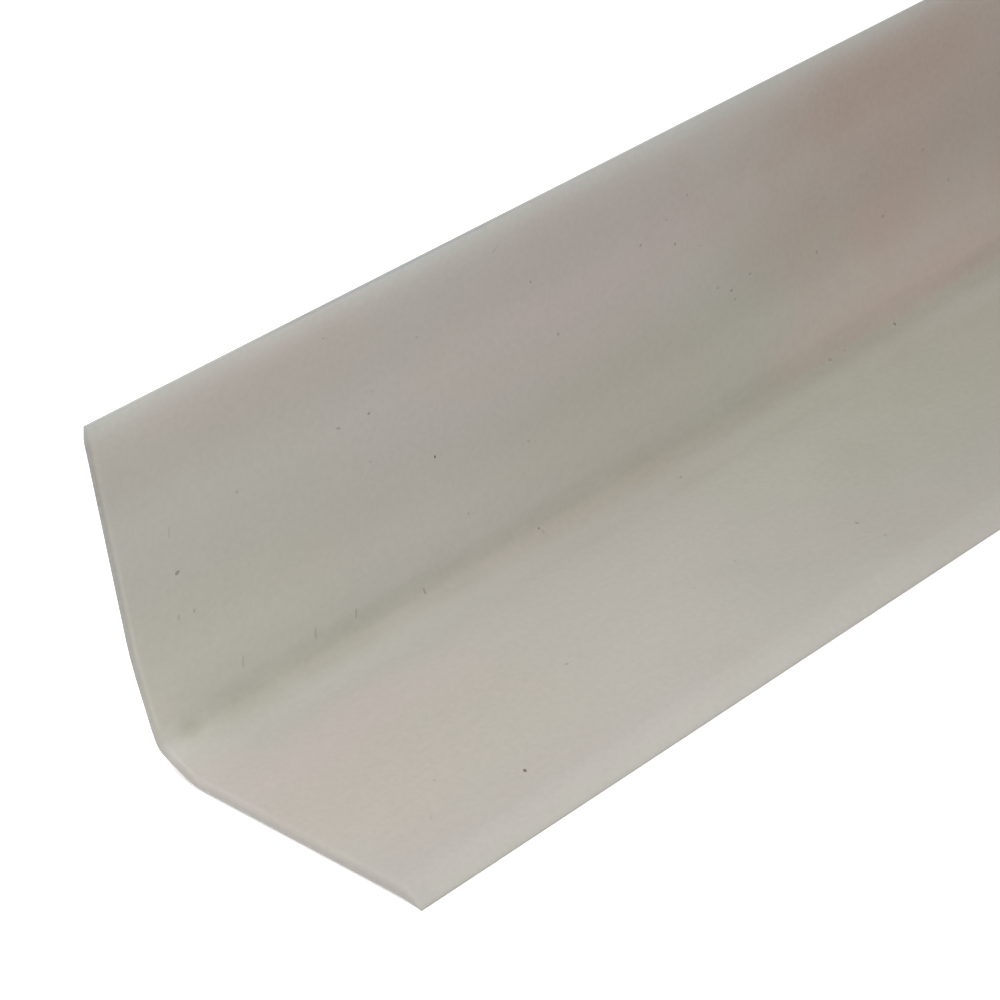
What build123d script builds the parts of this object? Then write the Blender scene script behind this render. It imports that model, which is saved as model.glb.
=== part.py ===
from build123d import *
from math import cos, radians
import os

# Skirting strip of soft vinyl: one extruded length with an L section.
# X runs along the strip, +Y points into the wall, -Y into the room, and the toe lies on the floor at Z = 0.
# The origin is the middle of the bounding box's bottom. Sizes are in millimetres.

# The stock
length = 2500.0
wall_height = 50.0
toe_depth = 52.3
thickness = 2.0

# The outside line turns from wall to floor at three soft corners.
# Each corner is given by its height over the floor or its distance from the wall.
bend_height = 16.2
heel_height = 3.0
heel_setback = 2.0
landing_setback = 8.9

# Radii of those corners on the outside, and the softer one of the fold on the room side of the heel
bend_radius = 36.0
heel_radius = 2.6
landing_radius = 9.0
fold_radius = 5.0

# The lip at the top of the wall leg: crowned towards the room, chamfered towards the wall
lip_band = 5.0
lip_crown_drop = 0.5
lip_edge = 0.3
lip_chamfer_height = 2.2
lip_chamfer_radius = 3.0

# The front of the toe: its top curves down to a thin edge
toe_band = 5.0
toe_edge = 0.25

# The wall plane lies half the toe's depth from the origin.
wall_plane = toe_depth / 2


def point(setback, height):
    """A point of the section, by its distance from the wall plane and its height over the floor."""
    return Vector(wall_plane - setback, height)


def room_side(before, corner, after):
    """The room side's corner, one thickness away from both runs that meet at a corner of the outside."""
    run_in = (corner - before).normalized()
    run_out = (after - corner).normalized()
    turn = radians(run_in.get_angle(run_out))
    return corner + (run_out - run_in).normalized() * (thickness / cos(turn / 2))


def crown_radius(run, drop):
    """Radius of an arc that leaves a straight run along it and falls by the drop over the run."""
    return (run**2 + drop**2) / (2 * drop)


def strip_section():
    """The cut end of the strip, a sheet of even thickness with two tapered edges."""
    lip_back = point(thickness - lip_edge - lip_crown_drop, wall_height)
    lip_front = point(thickness - lip_crown_drop, wall_height)
    chamfer_foot = point(0, wall_height - lip_chamfer_height)
    bend = point(0, bend_height)
    heel = point(heel_setback, heel_height)
    landing = point(landing_setback, 0)
    toe_bottom = point(toe_depth, 0)
    toe_top = point(toe_depth, toe_edge)
    crown_foot = point(thickness, wall_height - lip_band)
    toe_crown_foot = point(toe_depth - toe_band, thickness)

    room_landing = room_side(heel, landing, toe_bottom)
    room_heel = room_side(bend, heel, landing)
    room_bend = room_side(chamfer_foot, bend, heel)

    with BuildSketch(Plane.YZ) as section:
        with BuildLine():
            # Wall side and underside
            FilletPolyline(
                lip_back,
                chamfer_foot,
                bend,
                heel,
                landing,
                toe_bottom,
                radius=[lip_chamfer_radius, bend_radius, heel_radius, landing_radius],
            )
            # Front of the toe
            Line(toe_bottom, toe_top)
            RadiusArc(toe_top, toe_crown_foot, crown_radius(toe_band, thickness - toe_edge))
            # Room side
            FilletPolyline(
                toe_crown_foot,
                room_landing,
                room_heel,
                room_bend,
                crown_foot,
                radius=[landing_radius - thickness, fold_radius, bend_radius - thickness],
            )
            # Lip
            RadiusArc(crown_foot, lip_front, crown_radius(lip_band, lip_crown_drop))
            Line(lip_front, lip_back)
        make_face()
    return section.sketch


def skirting_strip():
    """The whole strip, its section drawn out evenly to both sides of the origin."""
    strip = extrude(strip_section(), amount=length / 2, both=True)
    strip.label = "skirting_strip"
    return strip


os.makedirs("parts", exist_ok=True)
export_step(skirting_strip(), "parts/skirting_strip.step")
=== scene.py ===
from math import asin, atan2, ceil, cos, pi, radians, sin, tan

import bpy
from mathutils import Matrix, Quaternion, Vector


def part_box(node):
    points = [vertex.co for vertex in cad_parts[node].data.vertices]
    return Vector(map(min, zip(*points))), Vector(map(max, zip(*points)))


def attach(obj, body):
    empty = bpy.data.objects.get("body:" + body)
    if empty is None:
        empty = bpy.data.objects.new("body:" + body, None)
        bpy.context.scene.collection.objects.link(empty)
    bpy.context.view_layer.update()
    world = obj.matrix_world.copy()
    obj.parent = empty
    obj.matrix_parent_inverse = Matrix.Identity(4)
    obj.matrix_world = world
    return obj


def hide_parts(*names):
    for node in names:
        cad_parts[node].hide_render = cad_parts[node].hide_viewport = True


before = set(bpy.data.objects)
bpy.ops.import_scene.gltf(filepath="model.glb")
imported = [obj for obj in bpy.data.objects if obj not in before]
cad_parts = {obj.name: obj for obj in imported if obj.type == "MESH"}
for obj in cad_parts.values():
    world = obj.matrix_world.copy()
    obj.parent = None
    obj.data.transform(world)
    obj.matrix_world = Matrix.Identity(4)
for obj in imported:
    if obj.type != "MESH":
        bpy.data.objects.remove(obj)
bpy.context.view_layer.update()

MM = 0.001

# The strip's own sizes, as in its drawing: a wall leg, a soft heel and a toe on the floor.
strip_low, strip_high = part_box("skirting_strip")
strip_length = strip_high.x - strip_low.x
wall_plane = strip_high.y
toe_depth = strip_high.y - strip_low.y
wall_height = strip_high.z
thickness = 2.0 * MM

bend_height = 16.2 * MM
heel_height = 3.0 * MM
heel_setback = 2.0 * MM
landing_setback = 8.9 * MM
bend_radius = 36.0 * MM
heel_radius = 2.6 * MM
landing_radius = 9.0 * MM
fold_radius = 5.0 * MM

lip_band = 5.0 * MM
lip_crown_drop = 0.5 * MM
lip_edge = 0.3 * MM
lip_chamfer_height = 2.2 * MM
lip_chamfer_radius = 3.0 * MM
toe_band = 5.0 * MM
toe_edge = 0.25 * MM

# The rounding of the two thin edges, which the drawing leaves sharp
nose_radius = 0.1 * MM

# How finely the section is drawn
turn_step = radians(5)
shortest_step = 0.04 * MM
crown_steps = 8
run_step = 2.0 * MM

# The sweep along the strip, in even stations, and the slight wave of its faces
station_step = 10.0 * MM
wave_height = 0.03 * MM
wave_length = 90.0 * MM
wave_seed = 3.0

# The cut ends are crowned, as soft vinyl comes off the knife. The crown leans from the flat angle in the
# middle of the material to the slope, and a tight arc then turns it round the rim. The rim's radius is a
# share of half the thickness, and the crown's rings are packed into the land.
end_flat = radians(16)
end_slope = radians(40)
end_rim = 0.6
end_rings = 9
end_land = 2.0 * MM

near_end = strip_low.x


def colour(red, green, blue):
    """A colour as the eye reads it, 0 to 255, in the renderer's own linear values."""
    def linear(value):
        share = value / 255
        return share / 12.92 if share <= 0.04045 else ((share + 0.055) / 1.055) ** 2.4

    return (linear(red), linear(green), linear(blue), 1.0)


def section_point(setback, height):
    """A point of the section, by its distance from the wall plane and its height over the floor."""
    return Vector((wall_plane - setback, height))


# Node trees

class NodeTable:
    """Adds nodes to one tree and links them as they are added."""

    def __init__(self, tree):
        self.tree = tree

    def add(self, kind, inputs=None, **settings):
        """A new node. Inputs are keyed by name or number, and each is a value or another node's output."""
        node = self.tree.nodes.new(kind)
        for name, value in settings.items():
            setattr(node, name, value)
        for key, value in (inputs or {}).items():
            if isinstance(value, bpy.types.NodeSocket):
                self.tree.links.new(value, node.inputs[key])
            else:
                node.inputs[key].default_value = value
        return node

    def math(self, operation, first, second=0.0, third=0.0, clamp=False):
        """The result of one sum."""
        inputs = {0: first, 1: second, 2: third}
        return self.add("ShaderNodeMath", inputs, operation=operation, use_clamp=clamp).outputs[0]

    def vector(self, operation, first, second=(0, 0, 0)):
        """The result of one vector sum."""
        return self.add("ShaderNodeVectorMath", {0: first, 1: second}, operation=operation).outputs[0]

    def ramp(self, value, start, end, low=0.0, high=1.0, shape="SMOOTHSTEP"):
        """A value carried from one range to another, held at both ends."""
        inputs = {"Value": value, "From Min": start, "From Max": end, "To Min": low, "To Max": high}
        return self.add("ShaderNodeMapRange", inputs, interpolation_type=shape).outputs["Result"]

    def length(self, vector):
        """How long a vector is."""
        return self.add("ShaderNodeVectorMath", {0: vector}, operation="LENGTH").outputs["Value"]

    def dot(self, first, second):
        """How far one vector reaches along another."""
        inputs = {0: first, 1: second}
        return self.add("ShaderNodeVectorMath", inputs, operation="DOT_PRODUCT").outputs["Value"]

    def scaled(self, vector, scale):
        """A vector times a value."""
        return self.add("ShaderNodeVectorMath", {0: vector, "Scale": scale}, operation="SCALE").outputs[0]

    def split(self, vector):
        """The three values of a vector."""
        return self.add("ShaderNodeSeparateXYZ", {0: vector}).outputs

    def joined(self, x=0.0, y=0.0, z=0.0):
        """A vector of three values."""
        return self.add("ShaderNodeCombineXYZ", {0: x, 1: y, 2: z}).outputs[0]

    def noise(self, place, size, detail, roughness=0.5):
        """Soft noise from 0 to 1 in lumps about as large as the size, a value or another node's output."""
        scale = self.math("DIVIDE", 1.0, size) if isinstance(size, bpy.types.NodeSocket) else 1 / size
        inputs = {"Vector": place, "Scale": scale, "Detail": detail, "Roughness": roughness}
        return self.add("ShaderNodeTexNoise", inputs).outputs[0]

    def mixed(self, amount, first, second, blend="MIX"):
        """Two colours mixed, as far as the amount says."""
        inputs = {"Factor": amount, "A": first, "B": second}
        return self.add("ShaderNodeMix", inputs, data_type="RGBA", blend_type=blend).outputs["Result"]

    def keep(self, geometry, values, kind="FLOAT"):
        """The geometry with named values put on its points."""
        for name, value in values.items():
            inputs = {"Geometry": geometry, "Name": name, "Value": value}
            geometry = self.add("GeometryNodeStoreNamedAttribute", inputs, data_type=kind).outputs[0]
        return geometry

    def kept(self, name, kind="FLOAT"):
        """A named value that the geometry carries."""
        return self.add("GeometryNodeInputNamedAttribute", {"Name": name}, data_type=kind).outputs[0]


def geometry_tree(name, inputs):
    """An empty Geometry Nodes tree with its named inputs, and the node that carries them in."""
    tree = bpy.data.node_groups.new(name, "GeometryNodeTree")
    tree.interface.new_socket("Geometry", in_out="INPUT", socket_type="NodeSocketGeometry")
    for label, kind in inputs.items():
        tree.interface.new_socket(label, in_out="INPUT", socket_type=kind)
    tree.interface.new_socket("Geometry", in_out="OUTPUT", socket_type="NodeSocketGeometry")
    return tree, NodeTable(tree), tree.nodes.new("NodeGroupInput").outputs


def end_tree(table, geometry, material):
    """The last steps of every tree: smooth faces, real instances, the material, and the result put out."""
    smooth = table.add("GeometryNodeSetShadeSmooth", {"Geometry": geometry, "Shade Smooth": True})
    real = table.add("GeometryNodeRealizeInstances", {"Geometry": smooth.outputs[0]})
    dressed = table.add("GeometryNodeSetMaterial", {"Geometry": real.outputs[0], "Material": material})
    table.add("NodeGroupOutput", {0: dressed.outputs[0]})


def made_by(tree, host, values, name):
    """The plain mesh object that a Geometry Nodes tree makes from a host mesh and its input values."""
    maker = bpy.data.objects.new(name + "_maker", host)
    bpy.context.scene.collection.objects.link(maker)
    modifier = maker.modifiers.new(tree.name, "NODES")
    modifier.node_group = tree
    for item in tree.interface.items_tree:
        if item.in_out == "INPUT" and item.name in values:
            modifier[item.identifier] = values[item.name]
    bpy.context.view_layer.update()
    evaluated = maker.evaluated_get(bpy.context.evaluated_depsgraph_get())
    piece = bpy.data.objects.new(name, bpy.data.meshes.new_from_object(evaluated))
    bpy.context.scene.collection.objects.link(piece)
    maker.modifiers.remove(modifier)
    bpy.data.objects.remove(maker)
    piece.data.name = name

    # A mesh that starts as Blender's own ball brings an empty material slot along.
    if piece.data.materials[0] is None:
        piece.data.materials.pop(index=0)
    return piece


# Shader groups

def shader_group(name, inputs, outputs):
    """An empty shader node group with its named inputs and outputs."""
    group = bpy.data.node_groups.new(name, "ShaderNodeTree")
    for label, (kind, value) in inputs.items():
        socket = group.interface.new_socket(label, in_out="INPUT", socket_type=kind)
        if value is not None:
            socket.default_value = value
    for label, kind in outputs.items():
        group.interface.new_socket(label, in_out="OUTPUT", socket_type=kind)
    return group, NodeTable(group), group.nodes.new("NodeGroupInput").outputs


# Noise seldom leaves this band, so the grain is spread from one end of it to the other.
noise_band = (0.25, 0.75)
grain_roughness = 0.6

# How much a patch's rim wanders, as a share of its reach, and the size of those wanderings
rim_wander = 0.5
rim_wander_size = 14 * MM


def grain_group():
    """Fine mottle of the extruded surface: a value from 0 to 1 whose middle is 0.5."""
    group, table, given = shader_group(
        "Fine grain",
        {
            "Place": ("NodeSocketVector", None),
            "Size": ("NodeSocketFloat", 1.0 * MM),
            "Detail": ("NodeSocketFloat", 3.0),
        },
        {"Grain": "NodeSocketFloat"},
    )
    noise = table.noise(given["Place"], given["Size"], given["Detail"], grain_roughness)
    table.add("NodeGroupOutput", {0: table.ramp(noise, *noise_band, shape="LINEAR")})
    return group


def patch_group():
    """A soft-edged oval patch with a slightly uneven rim: 1 in its middle and 0 outside."""
    group, table, given = shader_group(
        "Soft patch",
        {
            "Place": ("NodeSocketVector", None),
            "Centre": ("NodeSocketVector", None),
            "Reach": ("NodeSocketVector", None),
            "Core": ("NodeSocketFloat", 0.2),
        },
        {"Patch": "NodeSocketFloat"},
    )
    offset = table.vector("DIVIDE", table.vector("SUBTRACT", given["Place"], given["Centre"]), given["Reach"])
    noise = table.noise(given["Place"], rim_wander_size, 2.0)
    uneven = table.math("MULTIPLY_ADD", noise, rim_wander, table.length(offset))
    core_end = table.math("ADD", given["Core"], rim_wander / 2)
    table.add("NodeGroupOutput", {0: table.ramp(uneven, core_end, 1.0 + rim_wander / 2, 1.0, 0.0)})
    return group


fine_grain = grain_group()
soft_patch = patch_group()


# Materials

vinyl_colour = colour(179, 174, 167)
vinyl_roughness = 0.5
speck_colour = colour(74, 66, 52)
speck_roughness = 0.7

# Large clouds along the whole strip, from pinkish to olive, come up where the noise is within the band.
cloud_size = 70 * MM
cloud_band = (0.3, 0.7)
cloud_tint = (0.97, 1.01, 0.985)

# Soft patches of tint. Each has its distance from the near end and half its length, then its height on
# the wall leg or its Y on the toe and half its width, all in millimetres, and the tint that it multiplies
# in. All of them reach equally far through the leg that they lie on. Many are painted light and shade: the
# dark patches far along stand in for light that falls off away from the near end, partly with a brown stain,
# the dark patch low at the near end is painted shade in the fold, the pale patches low on the wall near the
# end are painted light thrown up from the toe, and the pale band on the toe beside the crease is painted
# light.
wall_patches = (
    ((155, 62), (36, 34), (0.93, 0.80, 0.775)),
    ((155, 50), (14, 16), (1.14, 1.06, 1.05)),
    ((146, 28), (51, 5), (1.05, 1.10, 1.12)),
    ((145, 38), (41, 7), (0.985, 0.94, 0.925)),
    ((20, 42), (46, 14), (1.02, 0.965, 0.965)),
    ((84, 48), (38, 18), (1.01, 0.955, 0.97)),
    ((50, 130), (42, 9), (0.925, 0.94, 0.93)),
    ((0, 80), (15, 14), (1.065, 1.05, 1.035)),
    ((90, 40), (14, 14), (0.99, 0.975, 0.93)),
    ((0, 14), (8, 5), (1.05, 1.04, 1.03)),
    ((4.5, 3.6), (4.8, 2.8), (0.84, 0.83, 0.75)),
)
toe_patches = (
    ((22, 40), (-4, 24), (1.02, 0.975, 0.975)),
    ((150, 70), (8, 24), (0.965, 0.985, 0.93)),
    ((100, 75), (19.5, 6), (0.92, 0.90, 0.885)),
    ((0, 85), (10.5, 9.5), (1.065, 1.025, 1.06)),
    ((30, 120), (18.5, 4), (0.965, 0.975, 0.975)),
    ((30, 90), (21.0, 3.2), (1.07, 1.055, 1.07)),
    ((0, 14), (17, 5), (1.07, 1.04, 1.05)),
    ((0, 90), (-21, 10), (0.985, 0.955, 0.98)),
    ((130, 90), (-20, 40), (0.88, 0.885, 0.87)),
    ((152, 42), (18.5, 4.5), (0.965, 0.955, 0.95)),
)
patch_depth = 6.0 * MM

# Farther along, brownish blooms come and go like the one that shows.
bloom_size = 110 * MM
bloom_band = (0.5, 0.7)
bloom_from = 220 * MM
bloom_full = 1.5 * bloom_from
bloom_tint = (0.95, 0.875, 0.855)

# The thin lip is lightened as a painted highlight, and the glued side and the underside are darkened as
# painted shade.
lip_highlight_band = 3.2 * MM
lip_highlight_tint = (1.05, 1.13, 1.17)
back_shade_depth = 0.9 * MM
back_shade_tint = (0.85, 0.85, 0.845)

# A thin darker line along the lip's edge, darkest some way along
lip_line = 0.35 * MM
lip_line_full = lip_line / 3
lip_line_tint = (0.93, 0.94, 0.95)
lip_line_dark_place = (near_end + 50 * MM, wall_plane - 1 * MM, wall_height)
lip_line_dark_reach = (30 * MM, 4 * MM, 4 * MM)
lip_line_dark_core = 0.5
lip_line_dark_tint = (0.84, 0.86, 0.88)

# The cut ends' rims are darkened from the glued side and the underside, the toe less than the wall leg:
# painted shade where the crowned ends turn away from the lamps.
end_shade_reach = 4.0 * MM
end_shade_depth = 1.9 * MM
end_shade_core = 1.3 * MM
end_shade_toe = 0.12
end_shade_tint = (0.80, 0.805, 0.81)

# Grime and painted shade lie in the fold, in streaks. The painted shade stands for the wall leg's shadow
# and thins towards the cut ends, where light reaches round them.
fold_setback = 4.0 * MM
fold_height = 4.2 * MM
fold_shade_core = 0.8 * MM
fold_shade_reach = 4.2 * MM
grime_and_shade_tint = (0.85, 0.84, 0.80)
streak_size = 9 * MM
fold_shade_start = 1.5 * MM
fold_shade_full = 14.0 * MM

# The crease is drawn crisp in paint: painted shade on its wall side and painted light on its toe side.
crease_soft = 1.2 * MM
crease_shade = (0.97, 0.97, 0.965)
crease_light = (1.03, 1.025, 1.025)

# Farther in, the brownish bloom comes down the wall leg to the crease.
brown_from = 106 * MM
brown_full = 124 * MM
brown_top = 13 * MM
brown_tint = (1.085, 0.995, 0.985)

# Fine mottle, die lines drawn out along the strip, and a fine orange peel. Mottle and die lines are in
# the colour, die lines and peel are in the bump, and mottle and grime add their dullness to the roughness.
grain_size = 0.9 * MM
grain_tint = (0.935, 0.935, 0.93)
grain_dullness = 0.05
grime_dullness = 0.12
die_line_pitch = 0.6 * MM
die_line_stretch = 250
die_line_tint = (0.985, 0.985, 0.985)
die_line_share = 0.5
peel_size = 0.5 * MM
peel_height = 0.012 * MM


def new_material(name):
    """A material with an empty tree, its node table, and its Principled shader linked to the output."""
    material = bpy.data.materials.new(name)
    material.use_nodes = True
    material.node_tree.nodes.clear()
    table = NodeTable(material.node_tree)
    shader = table.add("ShaderNodeBsdfPrincipled")
    table.add("ShaderNodeOutputMaterial", {"Surface": shader.outputs[0]})
    return material, table, shader


def use_group(table, group, inputs):
    """A shader group placed in a material with its own values."""
    node = table.tree.nodes.new("ShaderNodeGroup")
    node.node_tree = group
    for key, value in inputs.items():
        if isinstance(value, bpy.types.NodeSocket):
            table.tree.links.new(value, node.inputs[key])
        else:
            node.inputs[key].default_value = value
    return node.outputs[0]


def tinted(table, paint, mask, tint):
    """The paint, multiplied by a tint as far as the mask reaches."""
    return table.mixed(mask, paint, (*tint, 1), "MULTIPLY")


def placed_patches():
    """Centre, reach and tint of every soft patch, in the strip's own frame."""
    for (along, length), (height, rise), tint in wall_patches:
        centre = (near_end + along * MM, wall_plane - thickness, height * MM)
        yield centre, (length * MM, patch_depth, rise * MM), tint
    for (along, length), (depth, run), tint in toe_patches:
        centre = (near_end + along * MM, depth * MM, thickness)
        yield centre, (length * MM, run * MM, patch_depth), tint


def depth_outside(table, place):
    """How far a place is outside the runs of the wall side and the underside; less than 0 in the material."""
    corners = [
        section_point(0, wall_height),
        section_point(0, bend_height),
        section_point(heel_setback, heel_height),
        section_point(landing_setback, 0),
        section_point(toe_depth, 0),
    ]
    depth = -1.0
    for start, end in zip(corners, corners[1:]):
        run = (end - start).normalized()
        outward = Vector((0, -run.y, run.x))
        beyond = table.math("SUBTRACT", table.dot(place, outward), outward.yz.dot(start))
        depth = table.math("MAXIMUM", depth, beyond)
    return depth


def clouded(table, place, split):
    """The vinyl's clouds of tint, without and with the blooms and patches of the side that shows."""
    clouds = table.ramp(table.noise(place, cloud_size, 1.5), *cloud_band)
    plain = tinted(table, vinyl_colour, clouds, cloud_tint)
    blooms = table.ramp(table.noise(place, bloom_size, 2.0), *bloom_band)
    farther = table.ramp(split[0], near_end + bloom_from, near_end + bloom_full)
    paint = tinted(table, plain, table.math("MULTIPLY", blooms, farther), bloom_tint)
    # Soft patches, many of them painted shade and painted light
    for centre, reach, tint in placed_patches():
        patch = use_group(table, soft_patch, {"Place": place, "Centre": centre, "Reach": reach})
        paint = tinted(table, paint, patch, tint)
    return plain, paint


def lip_painted(table, place, height, paint):
    """The paint with a painted highlight on the lip and a darker line along its edge, and how far up the lip
    each place is.
    """
    # A painted highlight on the thin lip
    lip = table.ramp(height, wall_height - lip_highlight_band, wall_height)
    paint = tinted(table, paint, lip, lip_highlight_tint)
    line = table.ramp(height, wall_height - lip_line, wall_height - lip_line_full)
    paint = tinted(table, paint, line, lip_line_tint)
    line_darkening = use_group(
        table,
        soft_patch,
        {"Place": place, "Centre": lip_line_dark_place, "Reach": lip_line_dark_reach, "Core": lip_line_dark_core},
    )
    return tinted(table, paint, table.math("MULTIPLY", line_darkening, line), lip_line_dark_tint), lip


def painted_end_shade(table, to_end, height, depth, lip):
    """How far painted shade darkens the cut ends. It reaches in from the glued side and leaves out the lip.
    """
    at_end = table.ramp(to_end, end_shade_reach / 2, end_shade_reach, 1.0, 0.0)
    up_the_leg = table.ramp(height, 0.0, bend_height, end_shade_toe, 1.0)
    shaded = table.math("MULTIPLY", at_end, up_the_leg)
    shaded = table.math("MULTIPLY", shaded, table.ramp(depth, -end_shade_depth, -end_shade_core))
    return table.math("MULTIPLY", shaded, table.math("SUBTRACT", 1.0, lip))


def fold_painted(table, place, split, to_end, paint):
    """The paint with grime and painted shade in the fold, a crease drawn crisp in paint, and how much grime
    and shade lie there.
    """
    fold_line = (0, wall_plane - fold_setback, fold_height)
    across = table.vector("MULTIPLY", table.vector("SUBTRACT", place, fold_line), (0, 1, 1))
    near_fold = table.ramp(table.length(across), fold_shade_core, fold_shade_reach, 1.0, 0.0)
    streaks = table.math("ADD", table.noise(place, streak_size, 3.0), 0.5)
    amount = table.math("MULTIPLY", near_fold, table.ramp(to_end, fold_shade_start, fold_shade_full))
    grime_and_shade = table.math("MULTIPLY", amount, streaks, clamp=True)
    # Grime and painted shade in the fold
    paint = tinted(table, paint, grime_and_shade, grime_and_shade_tint)

    diagonal = table.math("SUBTRACT", table.math("ADD", split[1], split[2]), wall_plane)
    wall_side = table.ramp(diagonal, -crease_soft, crease_soft)
    toe_side = table.math("SUBTRACT", 1.0, wall_side)
    # Painted shade on the crease's wall side and painted light on its toe side
    paint = tinted(table, paint, table.math("MULTIPLY", near_fold, wall_side), crease_shade)
    paint = tinted(table, paint, table.math("MULTIPLY", near_fold, toe_side), crease_light)
    browned = table.ramp(split[0], near_end + brown_from, near_end + brown_full)
    browned = table.math("MULTIPLY", browned, table.ramp(split[2], brown_top / 2, brown_top, 1.0, 0.0))
    return tinted(table, paint, table.math("MULTIPLY", browned, wall_side), brown_tint), grime_and_shade


def vinyl_material():
    """Soft warm grey vinyl: cloudy tint, patches of painted light and shade, a painted highlight on the lip,
    painted shade on the back and the cut ends' rims, grime and painted shade in the fold, faint mottle,
    die lines and a dull sheen.
    """
    material, table, shader = new_material("soft_vinyl")
    link = material.node_tree.links.new
    place = table.add("ShaderNodeTexCoord").outputs["Object"]
    split = table.split(place)
    to_end = table.math("SUBTRACT", strip_length / 2, table.math("ABSOLUTE", split[0]))
    depth = depth_outside(table, place)

    # The side that shows, and painted shade on the glued side and the underside
    plain, paint = clouded(table, place, split)
    paint, lip = lip_painted(table, place, split[2], paint)
    back_shade = table.ramp(depth, -back_shade_depth, 0.0)
    paint = table.mixed(back_shade, paint, tinted(table, plain, back_shade, back_shade_tint))

    # Painted shade on the cut ends' rims, and grime with painted shade in the fold
    paint = tinted(table, paint, painted_end_shade(table, to_end, split[2], depth, lip), end_shade_tint)
    paint, grime_and_shade = fold_painted(table, place, split, to_end, paint)

    # Fine mottle and die lines
    grain = use_group(table, fine_grain, {"Place": place, "Size": grain_size})
    paint = tinted(table, paint, grain, grain_tint)
    drawn_out = table.vector("MULTIPLY", place, (1 / die_line_stretch, 1, 1))
    die_lines = use_group(table, fine_grain, {"Place": drawn_out, "Size": die_line_pitch, "Detail": 1.0})
    link(tinted(table, paint, die_lines, die_line_tint), shader.inputs["Base Color"])

    # Dull sheen
    mottled = table.ramp(grain, 0.0, 1.0, -grain_dullness, grain_dullness)
    duller = table.math("MULTIPLY_ADD", grime_and_shade, grime_dullness, mottled)
    link(table.math("ADD", duller, vinyl_roughness), shader.inputs["Roughness"])
    peel = use_group(table, fine_grain, {"Place": place, "Size": peel_size, "Detail": 1.0})
    height = table.math("MULTIPLY_ADD", die_lines, die_line_share, peel)
    bump = table.add("ShaderNodeBump", {"Height": height, "Distance": peel_height})
    link(bump.outputs[0], shader.inputs["Normal"])
    return material


def speck_material():
    """Dark specks of dirt, some fainter than others."""
    material, table, shader = new_material("dirt_specks")
    shade = table.add("ShaderNodeAttribute", attribute_name="shade").outputs["Fac"]
    paint = table.mixed(shade, vinyl_colour, speck_colour)
    material.node_tree.links.new(paint, shader.inputs["Base Color"])
    shader.inputs["Roughness"].default_value = speck_roughness
    return material


# The strip

def turn_between(run_in, run_out):
    """The angle from one run to the next, positive to the left."""
    return atan2(run_in.x * run_out.y - run_in.y * run_out.x, run_in.dot(run_out))


def room_side(before, corner, after):
    """The room side's corner, one thickness away from both runs that meet at a corner of the outside."""
    run_in = (corner - before).normalized()
    run_out = (after - corner).normalized()
    return corner + (run_out - run_in).normalized() * (thickness / cos(turn_between(run_in, run_out) / 2))


def rounded_corner(before, corner, after, radius):
    """Points along the arc that rounds a corner."""
    run_in = (corner - before).normalized()
    run_out = (after - corner).normalized()
    turn = turn_between(run_in, run_out)
    start = corner - run_in * (radius * tan(abs(turn) / 2))
    centre = corner + (run_out - run_in).normalized() * (radius / cos(turn / 2))
    steps = max(2, ceil(abs(turn) * min(1 / turn_step, radius / shortest_step)))
    return [centre + Matrix.Rotation(turn * step / steps, 2) @ (start - centre) for step in range(steps + 1)]


def crown(foot, along, inward, run, drop):
    """Points of an arc that leaves a straight run at its foot and falls by the drop over the run."""
    radius = (run**2 + drop**2) / (2 * drop)
    sweep = asin(run / radius)
    angles = [sweep * step / crown_steps for step in range(1, crown_steps + 1)]
    return [foot + along * (radius * sin(angle)) + inward * (radius * (1 - cos(angle))) for angle in angles]


# The radius of the largest ball that is tried in the material, a little over half the thickness
largest_ball = 0.75 * thickness


def to_middle(outline, index):
    """The way from a point of the outline to the centre of the ball that just fits there."""
    point = outline[index]
    along = (outline[(index + 1) % len(outline)] - outline[index - 1]).normalized()
    inward = Vector((along.y, -along.x))
    reach = largest_ball
    for other in outline:
        across = (other - point).dot(inward)
        if across > 0:
            reach = min(reach, (other - point).length_squared / (2 * across))
    return inward * reach


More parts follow.
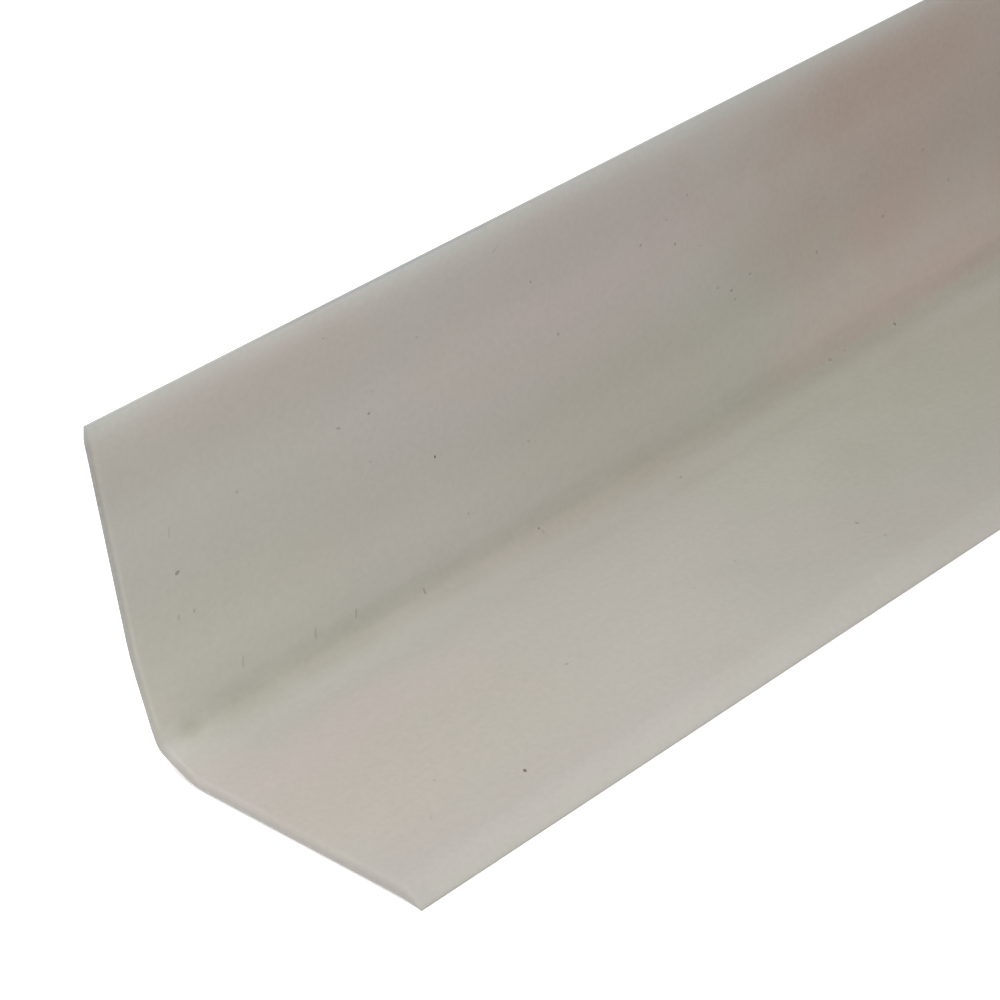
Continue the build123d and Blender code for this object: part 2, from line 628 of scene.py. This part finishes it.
def section_outline():
    """The closed outline of the cut end, clockwise as seen from its near end."""
    lip_back = section_point(thickness - lip_edge - lip_crown_drop, wall_height)
    chamfer_foot = section_point(0, wall_height - lip_chamfer_height)
    bend = section_point(0, bend_height)
    heel = section_point(heel_setback, heel_height)
    landing = section_point(landing_setback, 0)
    toe_bottom = section_point(toe_depth, 0)
    toe_crown_foot = section_point(toe_depth - toe_band, thickness)
    crown_foot = section_point(thickness, wall_height - lip_band)
    to_room, to_wall, up, down = Vector((-1, 0)), Vector((1, 0)), Vector((0, 1)), Vector((0, -1))
    toe_crown = crown(toe_crown_foot, to_room, down, toe_band, thickness - toe_edge)
    lip_crown = crown(crown_foot, up, to_wall, lip_band, lip_crown_drop)
    room_bend = room_side(chamfer_foot, bend, heel)
    room_heel = room_side(bend, heel, landing)
    room_landing = room_side(heel, landing, toe_bottom)

    # Corners in order, each with the radius of its rounding; 0 keeps the point as it is.
    corners = [
        (lip_back, nose_radius),
        (chamfer_foot, lip_chamfer_radius),
        (bend, bend_radius),
        (heel, heel_radius),
        (landing, landing_radius),
        *((Vector((point.x, 0)), 0) for point in toe_crown[:-1]),
        (toe_bottom, nose_radius),
        (toe_crown[-1], nose_radius),
        *((point, 0) for point in reversed(toe_crown[:-1])),
        (toe_crown_foot, 0),
        (room_landing, landing_radius - thickness),
        (room_heel, fold_radius),
        (room_bend, bend_radius - thickness),
        (crown_foot, 0),
        *((point, 0) for point in lip_crown[:-1]),
        (lip_crown[-1], nose_radius),
    ]
    turned = []
    for index, (corner, radius) in enumerate(corners):
        before, after = corners[index - 1][0], corners[(index + 1) % len(corners)][0]
        turned += rounded_corner(before, corner, after, radius) if radius else [corner]

    # Long straight runs get points of their own, so that the sweep can wave.
    outline = []
    for index, start in enumerate(turned):
        run = turned[(index + 1) % len(turned)] - start
        pieces = max(1, ceil(run.length / run_step))
        outline += [start + run * (step / pieces) for step in range(pieces)]
    return outline


def section_host():
    """A mesh of the section's edges, with the way to the middle of the material kept at every point.

    The sweep lays the section's own X along -Y and its own Y along -Z, so both are turned round here.
    The points run backwards, so that the swept faces point outwards.
    """
    outline = section_outline()
    middles = [to_middle(outline, index) for index in range(len(outline))][::-1]
    outline = outline[::-1]
    count = len(outline)
    host = bpy.data.meshes.new("strip_section")
    host.from_pydata(
        [(-point.x, -point.y, 0) for point in outline],
        [(index, (index + 1) % count) for index in range(count)],
        [],
    )
    ways = host.attributes.new("to_middle", "FLOAT_VECTOR", "POINT")
    ways.data.foreach_set("vector", [value for way in middles for value in (0, way.x, way.y)])
    return host


def crown_offset(table, given, place):
    """How each swept point moves to crown the cut ends.

    The crown is a flat arc up to the end slope, then a tight arc round the rim, both as shares of the
    radius of the ball that fits there.
    """
    slope = given["End Slope"]
    rim = given["End Rim"]
    sine = table.math("SINE", slope)
    ring_lean = table.kept("ring_lean")
    on_ring = table.kept("on_ring")
    flat_lean = table.math("MINIMUM", ring_lean, slope)
    rim_lean = table.math("MAXIMUM", ring_lean, slope)
    rim_width = table.math("MULTIPLY", rim, table.math("SUBTRACT", 1.0, sine))
    flat_radius = table.math("DIVIDE", table.math("SUBTRACT", 1.0, rim_width), sine)
    flat_width = table.math("MULTIPLY", flat_radius, table.math("SINE", flat_lean))
    middle_cosine = table.math("COSINE", given["End Flat"])
    flat_drop = table.math("SUBTRACT", middle_cosine, table.math("COSINE", flat_lean))
    flat_fall = table.math("MULTIPLY", flat_radius, flat_drop)
    rim_run = table.math("SUBTRACT", table.math("SINE", rim_lean), sine)
    rim_fall = table.math("SUBTRACT", table.math("COSINE", slope), table.math("COSINE", rim_lean))
    width = table.math("MULTIPLY_ADD", rim, rim_run, flat_width)
    fall = table.math("MULTIPLY_ADD", rim, rim_fall, flat_fall)

    # Across the section a point is drawn to the middle, and along the strip it goes to its ring's place.
    way = table.kept("to_middle", "FLOAT_VECTOR")
    draw = table.math("MULTIPLY", on_ring, table.math("SUBTRACT", 1.0, width))
    half = table.math("MULTIPLY", given["Length"], 0.5)
    along = table.split(place)[0]
    end_along = table.math("SUBTRACT", half, table.math("MULTIPLY", table.length(way), fall))
    move = table.math("SUBTRACT", table.math("MULTIPLY", end_along, table.math("SIGN", along)), along)
    return table.vector("ADD", table.scaled(way, draw), table.joined(table.math("MULTIPLY", move, on_ring)))


def wave_offset(table, given, place):
    """How each swept point waves: the wall leg leans in and out, and the toe lifts a hair off the floor."""
    noise = table.add(
        "ShaderNodeTexNoise",
        {
            "Vector": place,
            "W": given["Seed"],
            "Scale": table.math("DIVIDE", 1.0, given["Wave Length"]),
            "Detail": 1.0,
        },
        noise_dimensions="4D",
    ).outputs[0]
    split = table.split(place)
    on_wall = table.ramp(split[2], heel_height, bend_height)
    on_toe = table.ramp(split[1], wall_plane - landing_setback, wall_plane - 2 * landing_setback)
    sway = table.math("MULTIPLY", table.math("SUBTRACT", noise, 0.5), on_wall)
    lift = table.math("MULTIPLY", noise, on_toe)
    sway, lift = (table.math("MULTIPLY", share, given["Wave Height"]) for share in (sway, lift))
    return table.joined(y=sway, z=lift)


def sweep_tree():
    """Sweeps the section along the strip, crowns its cut ends and lets its faces wave a little."""
    tree, table, given = geometry_tree(
        "Swept strip",
        {
            "Length": "NodeSocketFloat",
            "Stations": "NodeSocketInt",
            "End Land": "NodeSocketFloat",
            "End Rings": "NodeSocketInt",
            "End Flat": "NodeSocketFloat",
            "End Slope": "NodeSocketFloat",
            "End Rim": "NodeSocketFloat",
            "Wave Height": "NodeSocketFloat",
            "Wave Length": "NodeSocketFloat",
            "Seed": "NodeSocketFloat",
            "Material": "NodeSocketMaterial",
        },
    )
    half = table.math("MULTIPLY", given["Length"], 0.5)
    line = table.add("GeometryNodeMeshLine", {"Count": given["Stations"]}, mode="OFFSET")
    index = table.add("GeometryNodeInputIndex").outputs[0]

    # The outer stations are the rings of the crown, packed into the end land, and the rest are even.
    last = table.math("SUBTRACT", given["Stations"], 1.0)
    from_end = table.math("MINIMUM", index, table.math("SUBTRACT", last, index))
    rings = given["End Rings"]
    share = table.math("DIVIDE", from_end, rings)
    even_count = table.math("SUBTRACT", table.math("MULTIPLY", last, 0.5), rings)
    even_step = table.math("DIVIDE", table.math("SUBTRACT", half, given["End Land"]), even_count)
    even_index = table.math("MAXIMUM", table.math("SUBTRACT", from_end, rings), 0.0)
    packed = table.math("MULTIPLY", given["End Land"], table.math("MINIMUM", share, 1.0))
    inset = table.math("MULTIPLY_ADD", even_index, even_step, packed)
    side = table.math("SIGN", table.math("SUBTRACT", index, table.math("MULTIPLY", last, 0.5)))
    along = table.math("MULTIPLY", side, table.math("SUBTRACT", half, inset))
    stations = table.add(
        "GeometryNodeSetPosition",
        {"Geometry": line.outputs[0], "Position": table.joined(along)},
    )

    # Each ring's face leans by its own angle: little near the middle of the end, a right angle at its rim.
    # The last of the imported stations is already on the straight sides.
    rim_share = table.math("DIVIDE", from_end, table.math("SUBTRACT", rings, 1.0))
    lean = table.ramp(rim_share, 0.0, 1.0, given["End Flat"], pi / 2, shape="LINEAR")
    on_ring = table.math("LESS_THAN", from_end, table.math("SUBTRACT", rings, 0.5))
    marked = table.keep(stations.outputs[0], {"ring_lean": lean, "on_ring": on_ring})
    path = table.add("GeometryNodeMeshToCurve", {0: marked})
    profile = table.add("GeometryNodeMeshToCurve", {0: given["Geometry"]})
    swept = table.add(
        "GeometryNodeCurveToMesh",
        {"Curve": path.outputs[0], "Profile Curve": profile.outputs[0], "Fill Caps": True},
    )
    place = table.add("GeometryNodeInputPosition").outputs[0]
    offset = table.vector("ADD", crown_offset(table, given, place), wave_offset(table, given, place))
    shaped = table.add("GeometryNodeSetPosition", {"Geometry": swept.outputs[0], "Offset": offset})
    end_tree(table, shaped.outputs[0], given["Material"])
    return tree


vinyl = vinyl_material()
even_stations = 2 * ceil(strip_length / station_step / 2)
strip = made_by(
    sweep_tree(),
    section_host(),
    {
        "Length": strip_length,
        "Stations": even_stations + 1 + 2 * end_rings,
        "End Land": end_land,
        "End Rings": end_rings,
        "End Flat": end_flat,
        "End Slope": end_slope,
        "End Rim": end_rim,
        "Wave Height": wave_height,
        "Wave Length": wave_length,
        "Seed": wave_seed,
        "Material": vinyl,
    },
    "skirting_vinyl",
)
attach(strip, "root")
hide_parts("skirting_strip")


# Dirt specks

# Specks that show near the cut end: distance from it, height on the wall leg or Y on the toe, length and
# width, all in millimetres, then turn in degrees from along the strip, and shade from faint to dark
wall_specks = (
    (8.6, 25.3, 0.78, 0.52, 20, 0.52),
    (19.8, 31.7, 0.48, 0.38, 0, 0.32),
    (52.4, 21.7, 0.42, 0.34, 60, 0.85),
    (77.0, 29.5, 0.50, 0.36, 30, 0.42),
    (73.3, 39.0, 0.45, 0.34, 120, 0.42),
    (8.6, 31.3, 1.70, 0.20, 70, 0.20),
    (7.5, 19.3, 0.80, 0.35, 78, 0.18),
    (10.0, 19.0, 0.60, 0.38, 70, 0.22),
    (15.1, 9.0, 1.80, 0.30, 74, 0.17),
    (27.0, 7.2, 1.90, 0.32, 78, 0.24),
    (34.0, 6.8, 2.30, 0.28, 72, 0.32),
    (45.3, 4.9, 1.30, 0.30, 80, 0.50),
    (37.3, 32.9, 0.80, 0.32, -20, 0.35),
    (42.6, 32.7, 0.50, 0.38, 0, 0.45),
    (43.7, 35.5, 0.45, 0.35, 0, 0.20),
    (41.6, 26.0, 0.40, 0.30, 45, 0.25),
    (94.2, 35.9, 0.50, 0.38, 15, 0.40),
    (52.4, 39.6, 0.45, 0.35, 150, 0.25),
    (37.3, 46.0, 0.50, 0.30, 0, 0.25),
    (68.0, 46.1, 1.60, 0.16, 25, 0.25),
    (69.0, 16.5, 0.50, 0.34, 0, 0.25),
    (56.1, 11.4, 0.45, 0.32, 90, 0.25),
    (104.1, 39.6, 0.48, 0.36, 40, 0.35),
    (99.6, 37.6, 0.45, 0.36, 0, 0.25),
    (100.8, 33.4, 0.50, 0.40, 90, 0.40),
    (105.7, 31.2, 0.60, 0.45, 20, 0.15),
    (108.2, 23.5, 0.50, 0.40, 0, 0.22),
    (110.9, 21.9, 0.48, 0.38, 0, 0.48),
    (111.4, 20.3, 0.45, 0.34, 130, 0.35),
    (115.0, 22.9, 0.60, 0.45, 0, 0.28),
    (129.2, 20.5, 0.60, 0.40, 75, 0.35),
    (144.0, 20.4, 0.60, 0.50, 0, 0.28),
    (154.0, 27.4, 0.55, 0.42, 60, 0.35),
    (159.3, 20.4, 0.50, 0.40, 0, 0.30),
    (127.1, 4.4, 0.60, 0.45, 0, 0.45),
    (130.4, 4.5, 0.50, 0.40, 0, 0.35),
    (141.6, 4.2, 0.65, 0.45, 90, 0.60),
    (66.6, 4.6, 0.40, 0.32, 0, 0.60),
    (66.9, 4.2, 1.10, 0.22, 78, 0.40),
    (66.2, 4.1, 0.90, 0.20, 104, 0.20),
)
toe_specks = (
    (26.1, -17.1, 0.80, 0.45, 65, 0.80),
    (12.2, -15.0, 1.30, 0.45, 40, 0.16),
    (46.7, -3.7, 0.50, 0.36, 0, 0.35),
    (90.9, 17.9, 0.55, 0.40, 50, 0.35),
    (95.6, -11.0, 0.70, 0.40, 100, 0.45),
    (95.3, -16.3, 0.50, 0.36, 0, 0.35),
    (70.1, -4.4, 0.45, 0.34, 0, 0.20),
    (17.9, -9.3, 0.45, 0.34, 60, 0.20),
    (78.5, -4.0, 0.45, 0.34, 0, 0.20),
    (85.4, 19.0, 0.45, 0.30, 0, 0.20),
)

# Loose specks lie farther along, so many to a square metre, each between these widths, lengths in
# widths, and shades. They lie only where the Z of the face's normal, less its Y, is over the last value.
loose_density = 900.0
loose_from = 175 * MM
loose_seed = 7
loose_wide = (0.25 * MM, 0.45 * MM)
loose_stretch = (1.0, 2.4)
loose_shade = (0.15, 0.55)
loose_open = 0.9

# Placed specks start a little in front of the strip and drop onto it.
speck_lift = 6 * MM
speck_reach = 12 * MM

# A speck is a flattened uneven lump, finer where it is near.
speck_flat = 0.3
speck_rough = 0.06 * MM
rough_size = 0.25 * MM
placed_fineness = 3
loose_fineness = 1


def speck_host():
    """Points in front of the wall leg and over the toe, each with the speck that it carries."""
    front = wall_plane - thickness - speck_lift
    above = thickness + speck_lift
    placed = [(x, front, z * MM, (0, 1, 0), values) for x, z, *values in wall_specks]
    placed += [(x, y * MM, above, (0, 0, -1), values) for x, y, *values in toe_specks]
    host = bpy.data.meshes.new("speck_points")
    host.from_pydata([(near_end + x * MM, y, z) for x, y, z, *_ in placed], [], [])
    towards = host.attributes.new("towards", "FLOAT_VECTOR", "POINT")
    towards.data.foreach_set("vector", [value for *_, way, values in placed for value in way])
    for column, (name, unit) in enumerate((("long", MM), ("wide", MM), ("turn", radians(1)), ("shade", 1.0))):
        carried = host.attributes.new(name, "FLOAT", "POINT")
        carried.data.foreach_set("value", [values[column] * unit for *_, values in placed])
    return host


def laid_flat(table, points, fineness, flat, material):
    """A flattened lump on every point, laid along the face that the point is on."""
    ball = table.add("GeometryNodeMeshIcoSphere", {"Radius": 0.5, "Subdivisions": fineness})
    lump = table.add("GeometryNodeSetMaterial", {"Geometry": ball.outputs[0], "Material": material})
    facing = table.add(
        "FunctionNodeAlignRotationToVector",
        {"Vector": table.kept("facing", "FLOAT_VECTOR")},
        axis="Z",
    )
    turn = table.add("FunctionNodeAxisAngleToRotation", {"Axis": (0, 0, 1), "Angle": table.kept("turn")})
    turned = table.add(
        "FunctionNodeRotateRotation",
        {"Rotation": facing.outputs[0], "Rotate By": turn.outputs[0]},
        rotation_space="LOCAL",
    )
    wide = table.kept("wide")
    return table.add(
        "GeometryNodeInstanceOnPoints",
        {
            "Points": points,
            "Instance": lump.outputs[0],
            "Rotation": turned.outputs[0],
            "Scale": table.joined(table.kept("long"), wide, table.math("MULTIPLY", wide, flat)),
        },
    ).outputs[0]


def dropped_points(table, given, strip_shape):
    """The placed specks' points, dropped onto the face in front of them."""
    hit = table.add(
        "GeometryNodeRaycast",
        {
            "Target Geometry": strip_shape,
            "Ray Direction": table.kept("towards", "FLOAT_VECTOR"),
            "Ray Length": given["Reach"],
        },
    ).outputs
    points = table.keep(given["Geometry"], {"facing": hit["Hit Normal"]}, "FLOAT_VECTOR")
    inputs = {"Geometry": points, "Position": hit["Hit Position"]}
    return table.add("GeometryNodeSetPosition", inputs).outputs[0]


def loose_points(table, given, strip_shape, place, normal):
    """The loose specks' points, only on faces farther along that look into the room or up."""
    looks = table.split(normal)
    open_side = table.math("SUBTRACT", looks[2], looks[1])
    far_along = table.math("GREATER_THAN", table.split(place)[0], given["Loose From"])
    density = table.math("MULTIPLY", given["Loose Density"], far_along)
    density = table.math("MULTIPLY", density, table.math("GREATER_THAN", open_side, loose_open))
    loose = table.add(
        "GeometryNodeDistributePointsOnFaces",
        {"Mesh": strip_shape, "Density": density, "Seed": given["Seed"]},
        distribute_method="RANDOM",
    ).outputs

    def chance(low, high, shift):
        """A random value for every loose speck."""
        inputs = {2: low, 3: high, "Seed": table.math("ADD", given["Seed"], shift)}
        return table.add("FunctionNodeRandomValue", inputs, data_type="FLOAT").outputs[1]

    scattered = table.keep(loose["Points"], {"facing": loose["Normal"]}, "FLOAT_VECTOR")
    wide = chance(*loose_wide, 1)
    return table.keep(
        scattered,
        {
            "wide": wide,
            "long": table.math("MULTIPLY", wide, chance(*loose_stretch, 2)),
            "turn": chance(0.0, pi, 3),
            "shade": chance(*loose_shade, 4),
        },
    )


def speck_tree():
    """Lays the placed specks on the strip, and scatters loose ones over its room side farther along."""
    tree, table, given = geometry_tree(
        "Dirt specks",
        {
            "Strip": "NodeSocketObject",
            "Reach": "NodeSocketFloat",
            "Flat": "NodeSocketFloat",
            "Loose Density": "NodeSocketFloat",
            "Loose From": "NodeSocketFloat",
            "Rough Height": "NodeSocketFloat",
            "Rough Size": "NodeSocketFloat",
            "Seed": "NodeSocketInt",
            "Material": "NodeSocketMaterial",
        },
    )
    strip_shape = table.add("GeometryNodeObjectInfo", {"Object": given["Strip"]}).outputs["Geometry"]
    place = table.add("GeometryNodeInputPosition").outputs[0]
    normal = table.add("GeometryNodeInputNormal").outputs[0]
    dropped = dropped_points(table, given, strip_shape)
    scattered = loose_points(table, given, strip_shape, place, normal)
    lumps = table.add("GeometryNodeJoinGeometry")
    for points, fineness in ((dropped, placed_fineness), (scattered, loose_fineness)):
        laid = laid_flat(table, points, fineness, given["Flat"], given["Material"])
        table.tree.links.new(laid, lumps.inputs[0])

    # The lumps are uneven, so that no two are alike.
    real = table.add("GeometryNodeRealizeInstances", {"Geometry": lumps.outputs[0]})
    swing = table.math("SUBTRACT", table.noise(place, given["Rough Size"], 2.0), 0.5)
    push = table.scaled(normal, table.math("MULTIPLY", swing, given["Rough Height"]))
    uneven = table.add("GeometryNodeSetPosition", {"Geometry": real.outputs[0], "Offset": push})
    end_tree(table, uneven.outputs[0], given["Material"])
    return tree


specks = made_by(
    speck_tree(),
    speck_host(),
    {
        "Strip": strip,
        "Reach": speck_reach,
        "Flat": speck_flat,
        "Loose Density": loose_density,
        "Loose From": near_end + loose_from,
        "Rough Height": speck_rough,
        "Rough Size": rough_size,
        "Seed": loose_seed,
        "Material": speck_material(),
    },
    "dust_specks",
)
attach(specks, "root")


# Floor, light and camera

floor_reach = 6.0
floor_drop = 0.02 * MM
floor_grey = (0.8, 0.8, 0.8, 1)
floor_roughness = 0.9
floor_glow = 0.5
white = (1, 1, 1, 1)
world_light = 0.7


def seen_ray(table):
    """1 for a ray that shows the floor or the backdrop, straight or in a gloss, and 0 for one that lights."""
    rays = table.add("ShaderNodeLightPath").outputs
    mirrored = table.math("MAXIMUM", rays["Is Glossy Ray"], rays["Is Transmission Ray"])
    return table.math("MAXIMUM", rays["Is Camera Ray"], mirrored)


def pale_floor():
    """A wide pale floor that glows where it is seen, and a hair below the strip."""
    sides = ((-1, -1), (1, -1), (1, 1), (-1, 1))
    corners = [(x * floor_reach, y * floor_reach, -floor_drop) for x, y in sides]
    mesh = bpy.data.meshes.new("floor")
    mesh.from_pydata(corners, [], [(0, 1, 2, 3)])
    material, table, shader = new_material("pale_floor")
    shader.inputs["Base Color"].default_value = floor_grey
    shader.inputs["Roughness"].default_value = floor_roughness
    shader.inputs["Emission Color"].default_value = white
    glow = table.math("MULTIPLY", seen_ray(table), floor_glow)
    material.node_tree.links.new(glow, shader.inputs["Emission Strength"])
    mesh.materials.append(material)
    return bpy.data.objects.new("floor", mesh)


floor = pale_floor()
bpy.context.scene.collection.objects.link(floor)

world = bpy.data.worlds.new("studio")
world.use_nodes = True
bpy.context.scene.world = world
backdrop = world.node_tree.nodes["Background"]
backdrop.inputs["Color"].default_value = white
world_table = NodeTable(world.node_tree)
world_strength = world_table.math("MAXIMUM", seen_ray(world_table), world_light)
world.node_tree.links.new(world_strength, backdrop.inputs["Strength"])

# The lamps aim at this line along the strip, between its two legs.
aim_y = -4 * MM
aim_height = 20 * MM


def soft_spot(name, azimuth, elevation, power, reach=160.0 * MM, distance=0.6, softness=0.12, along=15 * MM):
    """A soft lamp aimed at a place along the strip. Azimuth 0 is in the room, and 90 past the near end."""
    aim = Vector((near_end + along, aim_y, aim_height))
    turn, rise = radians(azimuth), radians(elevation)
    towards = Vector((-sin(turn) * cos(rise), -cos(turn) * cos(rise), sin(rise)))
    lamp = bpy.data.objects.new(name, bpy.data.lights.new(name, "SPOT"))
    bpy.context.scene.collection.objects.link(lamp)
    lamp.location = aim + towards * distance
    lamp.rotation_euler = towards.to_track_quat("Z", "Y").to_euler()
    lamp.data.energy = power
    lamp.data.spot_size = 2 * atan2(reach, distance)
    lamp.data.spot_blend = 1.0
    lamp.data.shadow_soft_size = softness


# Each lamp's azimuth and elevation are in degrees, and its power is in watts.
soft_spot("overhead_spot", 90, 75, 5.2, reach=300 * MM)
soft_spot("key_spot", 90, 60, 2.3)
soft_spot("room_spot", 0, 20, 1.8)
soft_spot("low_spot", -30, 3, 2.3)
soft_spot("wall_spot", 180, 75, 1.0, reach=300 * MM)

# The run beyond the near end is lit as brightly, by lamps at these distances from that end.
for number, along in enumerate((0.72, 1.15, 1.6, 2.05, 2.45)):
    soft_spot(f"run_spot_{number}", 0, 62, 9.0, reach=480 * MM, distance=1.0, along=along)

# The camera stands past the near end and above it, where the photograph was taken from. Its lens is
# given in picture widths.
camera_place = Vector((-1.44104, -0.28198, 0.22746))
camera_target = Vector((-1.17728, 0.03645, 0.0015))
camera_roll = radians(-8.216)
camera_widths = 3.3
camera_sensor = 36

camera = bpy.data.objects.new("camera", bpy.data.cameras.new("camera"))
bpy.context.scene.collection.objects.link(camera)
level = (camera_target - camera_place).to_track_quat("-Z", "Y")
camera.rotation_mode = "QUATERNION"
camera.rotation_quaternion = level @ Quaternion((0, 0, 1), camera_roll)
camera.location = camera_place
camera.data.sensor_width = camera_sensor
camera.data.lens = camera_widths * camera_sensor
camera.data.clip_start = 0.01
camera.data.clip_end = 50
bpy.context.scene.camera = camera

bpy.context.scene.view_settings.view_transform = "Standard"
